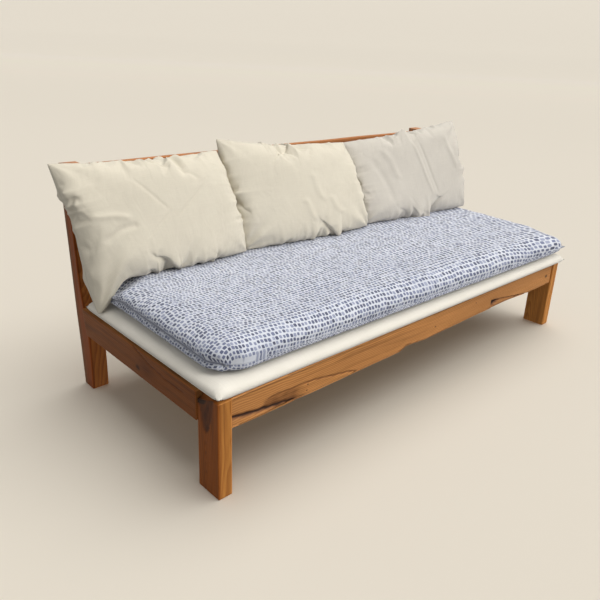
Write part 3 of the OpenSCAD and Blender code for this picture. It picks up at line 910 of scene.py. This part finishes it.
def inflate(piece, pressure, frames):
    """Fills the sewn panels by cloth simulation and keeps the last shape."""
    cloth = piece.modifiers.new("cloth", "CLOTH")
    settings = cloth.settings
    settings.quality = 6
    settings.mass = 0.3
    for kind, share in (("tension", 1.0), ("compression", 1.0), ("shear", 0.5)):
        setattr(settings, f"{kind}_stiffness", CLOTH_TENSION * share)
        setattr(settings, f"{kind}_damping", CLOTH_DAMPING)
    settings.bending_stiffness = CLOTH_BENDING
    settings.air_damping = 2
    settings.use_pressure = True
    settings.uniform_pressure_force = pressure
    settings.effector_weights.gravity = 0
    cloth.collision_settings.use_collision = False
    cloth.point_cache.frame_start = 1
    cloth.point_cache.frame_end = frames
    scene = bpy.context.scene
    for number in range(1, frames + 1):
        scene.frame_set(number)
    apply_modifiers(piece)
    scene.frame_set(1)


def points_of(piece):
    co = np.empty(len(piece.data.vertices) * 3)
    piece.data.vertices.foreach_get("co", co)
    return co.reshape(-1, 3)


def set_points(piece, co):
    piece.data.vertices.foreach_set("co", np.ascontiguousarray(co, np.float32).ravel())
    piece.data.update()


def subdivide(piece):
    smoother = piece.modifiers.new("smooth", "SUBSURF")
    smoother.levels = 1
    smoother.render_levels = 1
    apply_modifiers(piece)


def straighten(along, across, borders, keeps):
    """Spreads points so that each border keeps only a part of how far it is drawn in. A part
    below 0 bows it out."""
    grow = []
    for border, keep in zip(borders, keeps):
        order = np.argsort(border[:, 1])
        edge = np.interp(across, border[order, 1], np.abs(border[order, 0]))
        grow.append(1 + (1 - keep) * (1 / edge - 1))
    return along * np.where(along < 0, grow[0], grow[1])


def soft_form(name, width, height, columns, rows, seed, pressure, frames, keeps):
    """A filled, sewn form in panel coordinates: u and v from -1 to 1 between its corners,
    and its depth in metres, front positive. Returns the piece, u, v and depth."""
    bulge = 0.02
    piece, borders = sewn_panels(name, width, height, columns, rows, bulge, seed)
    inflate(piece, pressure, frames)
    flat = points_of(piece)[:, [0, 2]]
    left, right, lower, upper = borders
    size = np.abs(flat[[left[0], left[-1], right[0], right[-1]]]).mean(0)
    flat = flat / size
    subdivide(piece)
    co = points_of(piece)
    u, v = co[:, 0] / size[0], co[:, 2] / size[1]
    sides = (flat[left], flat[right])
    ends = (flat[lower][:, ::-1], flat[upper][:, ::-1])
    straight_u = straighten(u, v, sides, keeps[:2])
    straight_v = straighten(v, u, ends, keeps[2:])
    return piece, straight_u, straight_v, -co[:, 1]


def limit(depth, most):
    """Depth that grows as given at first and levels off at the most."""
    t = depth / most
    return most * t / (1 + np.abs(t) ** 3) ** (1 / 3)


def patch(u, v, corners):
    """Points over the patch between corners: lower left, lower right, upper right, upper left."""
    a, b, c, d = (np.array(corner, float) for corner in corners)
    u, v = u[:, None], v[:, None]
    return ((1 - u) * (1 - v) * a + (1 + u) * (1 - v) * b
            + (1 + u) * (1 + v) * c + (1 - u) * (1 + v) * d) / 4


def patch_normal(corners):
    a, b, c, d = (Vector(corner) for corner in corners)
    return np.array(((b - a + c - d).cross(d - a + c - b)).normalized())


def fold_lines(u, v, lines):
    """Displacement by folds: each line has two ends in u and v, a width in u and a height."""
    total = np.zeros_like(u)
    for (u0, v0), (u1, v1), width, height in lines:
        du, dv = u1 - u0, v1 - v0
        length = math.hypot(du, dv)
        t = ((u - u0) * du + (v - v0) * dv) / length ** 2
        off = ((u - u0) * dv - (v - v0) * du) / length
        off = off + 0.25 * width * np.sin(7 * t + 3 * u0)
        ends = smooth((t + 0.06) / 0.2) * smooth((1.06 - t) / 0.2)
        total += height * ends * np.exp(-(off / width) ** 2)
    return total


def gathers(u, v, corner, reach, height, count, phase):
    """Small folds that fan out from a corner."""
    du, dv = u - corner[0], (v - corner[1]) * 0.7
    r = np.hypot(du, dv)
    angle = np.arctan2(dv, du)
    waves = np.sin(count * angle + phase + 5 * r)
    return height * waves * smooth(r / 0.12) * np.exp(-(r / reach) ** 2)


def back_cushion(side, seed, material, corners, thickness, keeps, folds, corner_folds,
                 droop=0.0):
    """A loose cushion leaning on the back, from a simulated form carried over its four corners.
    keeps holds how far the left, right, lower and upper borders stay drawn in, folds the lines
    for fold_lines, and corner_folds what gathers needs after u and v."""
    piece, u, v, depth = soft_form(f"{side}_cushion_linen", *CUSHION_PANEL, *CUSHION_GRID, seed,
                                   CUSHION_PRESSURE, CUSHION_FRAMES, keeps)
    front = depth > 0
    fuller = 1 + 0.16 * np.clip(-v, -1, 1)
    depth = limit(depth * 0.85 * fuller, thickness / 2 * 1.12)
    shift = fold_lines(u, v, folds)
    for corner_fold in corner_folds:
        shift += gathers(u, v, *corner_fold)
    edge = smooth((1 - np.maximum(np.abs(u), np.abs(v))) / 0.12)
    depth = depth + front * shift * edge
    co = patch(u, v, corners) + depth[:, None] * patch_normal(corners)
    # what would lie under the topper's surface spreads out on it
    low = (co[:, 2] - CUSHION_FLOOR) / CUSHION_SETTLE
    spread = CUSHION_FLOOR + CUSHION_SETTLE * np.log1p(np.exp(np.clip(low, -30, 30)))
    co[:, 2] = np.where(low > 30, co[:, 2], spread)
    if droop:
        # the lower left corner hangs over the end of the topper
        out = smooth((TOPPER_END_X - co[:, 0]) / 0.10)
        co[:, 2] -= droop * out * smooth((0.66 - co[:, 2]) / 0.21)
    set_points(piece, co)
    piece.data.materials.append(material)
    stand_in(piece, f"{side}_cushion", "linen", f"{side}_cushion_cover", f"{side}_cushion_pad")


def crowd(distance, reach):
    """Moves points within reach of a border towards it, so that they are even on a round side."""
    t = np.clip(distance / reach, 0, 1)
    return np.where(t < 1, reach * t ** 1.6, distance)


def round_over(du, dv, reach_u, reach_v):
    """0 at a border, rising round a quarter circle to 1 at that reach from both borders."""
    tu, tv = 1 - np.clip(du / reach_u, 0, 1), 1 - np.clip(dv / reach_v, 0, 1)
    t = np.clip((tu ** 4 + tv ** 4) ** 0.25, 0, 1)
    return np.sqrt(1 - t * t)


def side_length(distance, reach, height):
    """Length along a rounded side from its border to a place that is that far in."""
    a = np.arccos(1 - np.clip(distance / reach, 0, 1)) * 2 / math.pi
    quarter = math.pi / 2 * np.sqrt((reach ** 2 + height ** 2) / 2)
    return a * quarter + np.clip(distance - reach, 0, None), quarter


def flat_pad(name, size, grid, seed, corners, top_z, base_z, reach, reach_right, bulge,
             pressure, lumps, crown, ripple):
    """The topper or the mattress: a simulated form kept to its thickness, with a few lumps and a
    crown on top. Its sides round over within the reach, bulge over and under the seam, and
    ripple along it."""
    piece, u, v, puff = soft_form(name, *size, *grid, seed, pressure, PAD_FRAMES, (0.06,) * 4)
    top = puff > 0
    # the right end's front corner tapers to a point
    reach_u = reach + (reach_right - reach) * (u > 0) * smooth((-0.45 - v) / 0.5)
    du, dv = (1 - np.abs(u)) * size[0] / 2, (1 - np.abs(v)) * size[1] / 2
    # the sewn border lies on the seam itself
    seam = np.empty(len(u), np.float32)
    piece.data.attributes["seam"].data.foreach_get("value", seam)
    sewn, nearer_u = seam > 0.99, du < dv
    du = crowd(np.where(sewn & nearer_u, 0, du), reach_u)
    dv = crowd(np.where(sewn & ~nearer_u, 0, dv), reach)
    u, v = np.sign(u) * (1 - du * 2 / size[0]), np.sign(v) * (1 - dv * 2 / size[1])
    co = patch(u, v, corners)
    height = np.where(top, top_z - co[:, 2], co[:, 2] - base_z)
    # the cloth's own coordinates run over the rounded sides at their true length
    cloth = []
    for t, d, half, near_by in ((u, du, size[0] / 2, reach_u), (v, dv, size[1] / 2, reach)):
        run, quarter = side_length(d, near_by, height)
        cloth.append(np.sign(t) * (half + quarter - near_by - run))
    write_vectors(piece, "cloth", np.column_stack([*cloth, np.zeros(len(u))]))
    full = round_over(du, dv, reach_u, reach)
    near_seam = np.exp(-np.minimum(du, dv) / 0.06)
    run = np.where(du < dv, co[:, 1], co[:, 0])
    wave = np.array([wobble(t * 16, seed + 2) + 0.6 * wobble(t * 41, seed) for t in run])
    lump = np.array([wobble(x * 3.1, y * 4.3, seed) + 0.5 * wobble(x * 8, y * 9, seed + 4)
                     for x, y in co[:, :2]])
    thick = height * full + ripple * wave * near_seam * full
    dome = crown * (1 - u ** 4) * (1 - np.clip((v + 0.35) / 1.1, -1, 1) ** 2)
    thick += np.where(top, (lumps * lump + dome) * (1 - near_seam) * full, 0)
    co[:, 2] += np.where(top, 1, -1) * thick
    # only the left side's seam is drawn in so deep that it shows as a dark line; its crease gets the
    # strongest painted shade, the other sides less
    left_side = (u < 0) & (du < dv)
    swell = bulge * np.sin(math.pi * full) * np.where(left_side, 1.0, 0.4)
    seam = np.exp(-(full / 0.14) ** 2) * np.where(left_side, 1.0, 0.72)
    piece.data.attributes["seam"].data.foreach_set("value", seam.astype(np.float32))
    co[:, 0] += swell * np.sign(u) * smooth(1 - du / reach_u) * np.where(u > 0, 0.2, 1.0)
    co[:, 1] += swell * np.sign(v) * smooth(1 - dv / reach)
    return piece, co, du, dv


# ---------- the scene ----------

make_camera()
make_studio()

front_leg(-1, "front_left_leg")
front_leg(1, "front_right_leg")
front_rail()
side_rail(-1, "left_side_rail")
side_rail(1, "right_side_rail")
rear_post(-1, "rear_left_post")
rear_post(1, "rear_right_post")
rear_rail()
for board in range(3):
    back_board(board)

peg_wood = hardwood("peg_wood_grain", "Y", (0, 0, 0), 31, light=(0.42, 0.19, 0.08), streaks=0.2)
pegs("front_pegs", "front_tenon_pegs",
     [(side * FRONT_PEG_X, RAIL_MID, *FRONT_PEG_Y) for side in (-1, 1)])
pegs("rear_pegs", "rear_tenon_pegs",
     [(side * REAR_PEG_X, RAIL_MID, REAR_PEG_Y, post_rear(RAIL_MID) + PEG_PROUD) for side in (-1, 1)])
board_mids = [BACK_TOP - BOARD_DROP - BOARD_H / 2 - i * BOARD_PITCH for i in range(3)]
pegs("back_pegs", "back_tenon_pegs",
     [(side * BACK_PEG_X, z, post_front(z) + BACK_PEG_INSET, post_rear(z) + PEG_PROUD)
      for side in (-1, 1) for z in board_mids])


def slat_material(number, node):
    _, _, mid = node_box(node.name)
    axis = "Y" if node.name.startswith("slat") else "X"
    return hardwood(f"{node.name}_wood", axis, mid, 40 + number, light=(0.56, 0.36, 0.18),
                    dark=(0.30, 0.16, 0.07), streaks=0.25, lean=0.04)


slat_names = [f"slat_{k}" for k in range(1, 15)]
finish_nodes(slat_names + ["front_cleat", "rear_cleat"], slat_material)
zinc = steel("zinc_steel_worn")
finish_nodes(["cleat_screws", "slat_screws"], lambda number, node: zinc)

cream = woven("cream_cotton_weave", (0.76, 0.73, 0.66), (0.65, 0.62, 0.54), crease=0.25)
mattress, points, _, _ = flat_pad(
    "base_mattress_pad", (1.95, 0.80), (100, 42), 3.0,
    [(-0.953, -0.4475, 0.3245), (0.957, -0.4665, 0.3245), (0.953, 0.322, 0.3265),
     (-0.953, 0.322, 0.3265)],
    top_z=0.3507, base_z=0.3097, reach=0.05, reach_right=0.06, bulge=0.002, pressure=0.4,
    lumps=0.0004, crown=0.0, ripple=0.0010)
set_points(mattress, points)
mattress.data.materials.append(cream)
stand_in(mattress, "base_mattress", "cream_cotton", "mattress_cover", "mattress_filling")

topper, points, du, dv = flat_pad(
    "topper_print", (1.92, 0.76), (104, 42), 6.0,
    [(-0.917, -0.418, 0.385), (0.960, -0.4555, 0.382), (0.990, 0.280, 0.394),
     (-0.912, 0.285, 0.402)],
    top_z=0.4445, base_z=0.3525, reach=0.062, reach_right=0.18, bulge=0.016, pressure=0.8,
    lumps=0.0026, crown=0.013, ripple=0.0035)
# its front left corner is tucked round, and the left cushion presses its rear left corner down
tucked = smooth(1 - du / 0.09) * smooth(1 - dv / 0.09) * (points[:, 0] < 0) * (points[:, 1] < 0)
points[:, 0] += 0.026 * tucked
points[:, 1] += 0.022 * tucked
pressed = smooth((-0.79 - points[:, 0]) / 0.11) * smooth((points[:, 1] - 0.12) / 0.08)
points[:, 2] -= 0.5 * pressed * np.clip(points[:, 2] - 0.372, 0, None)
set_points(topper, points)
topper.data.materials.append(printed("printed_cotton_squares"))
stand_in(topper, "topper", "printed_cotton", "topper_cover", "topper_filling")

linen = woven("linen_warm", (0.66, 0.615, 0.505), (0.54, 0.495, 0.405))
linen_cool = woven("linen_cool", (0.60, 0.565, 0.50), (0.47, 0.44, 0.39))

back_cushion(
    "left", 1.3, linen,
    [(-0.962, 0.2075, 0.437), (-0.366, 0.1845, 0.441), (-0.408, 0.3175, 0.812),
     (-1.030, 0.3275, 0.822)],
    0.150, (0.1, -0.1, -0.05, 0.25),
    [((-0.28, 0.60), (0.0, 0.05), 0.014, -0.0022), ((0.08, -0.12), (0.52, 0.36), 0.014, -0.0024),
     ((-0.35, -0.38), (0.05, 0.02), 0.014, -0.0020), ((-0.85, 0.1), (-0.45, 0.0), 0.05, 0.004),
     ((-0.8, -0.25), (-0.4, -0.12), 0.05, -0.004)],
    [((-1, -1), 0.5, 0.005, 9, 0.4), ((1, -1), 0.35, 0.003, 8, 1.0),
     ((-1, 1), 0.4, 0.002, 8, 2.0), ((1, 1), 0.4, 0.002, 8, 0.2)],
    droop=0.105)

back_cushion(
    "middle", 5.1, linen,
    [(-0.378, 0.2075, 0.437), (0.282, 0.1495, 0.441), (0.258, 0.3095, 0.795),
     (-0.400, 0.3335, 0.850)],
    0.150, (-0.1, -0.1, -0.05, 0.25),
    [((0.1, 0.3), (0.2, -0.3), 0.05, 0.003), ((-0.1, -0.2), (0.0, -0.65), 0.05, 0.003),
     ((0.3, -0.2), (0.45, -0.6), 0.05, 0.003)],
    [((-1, -1), 0.4, 0.006, 10, 0.4), ((1, -1), 0.45, 0.005, 9, 1.5),
     ((-1, 1), 0.4, 0.002, 8, 2.0), ((1, 1), 0.4, 0.004, 8, 0.2)])

back_cushion(
    "right", 9.7, linen_cool,
    [(0.280, 0.1795, 0.441), (0.988, 0.1175, 0.439), (0.986, 0.2475, 0.863),
     (0.270, 0.3475, 0.785)],
    0.140, (-0.05, 0.2, -0.05, 0.25),
    [((-0.5, 0.65), (-0.35, -0.1), 0.05, 0.004), ((0.0, 0.7), (0.20, -0.6), 0.022, 0.0035),
     ((0.12, 0.65), (0.30, -0.6), 0.018, -0.003), ((0.62, 0.7), (0.75, -0.1), 0.04, 0.004),
     ((-0.7, 0.5), (-0.5, -0.6), 0.05, -0.003)],
    [((-1, -1), 0.4, 0.004, 9, 0.4), ((1, -1), 0.35, 0.003, 8, 1.0),
     ((1, 1), 0.45, 0.006, 8, 2.0)])

lit = bpy.data.collections["lit_by_key"]
for obj in bpy.context.scene.objects:
    if obj.type == "MESH" and obj.name != "studio_floor":
        lit.objects.link(obj)
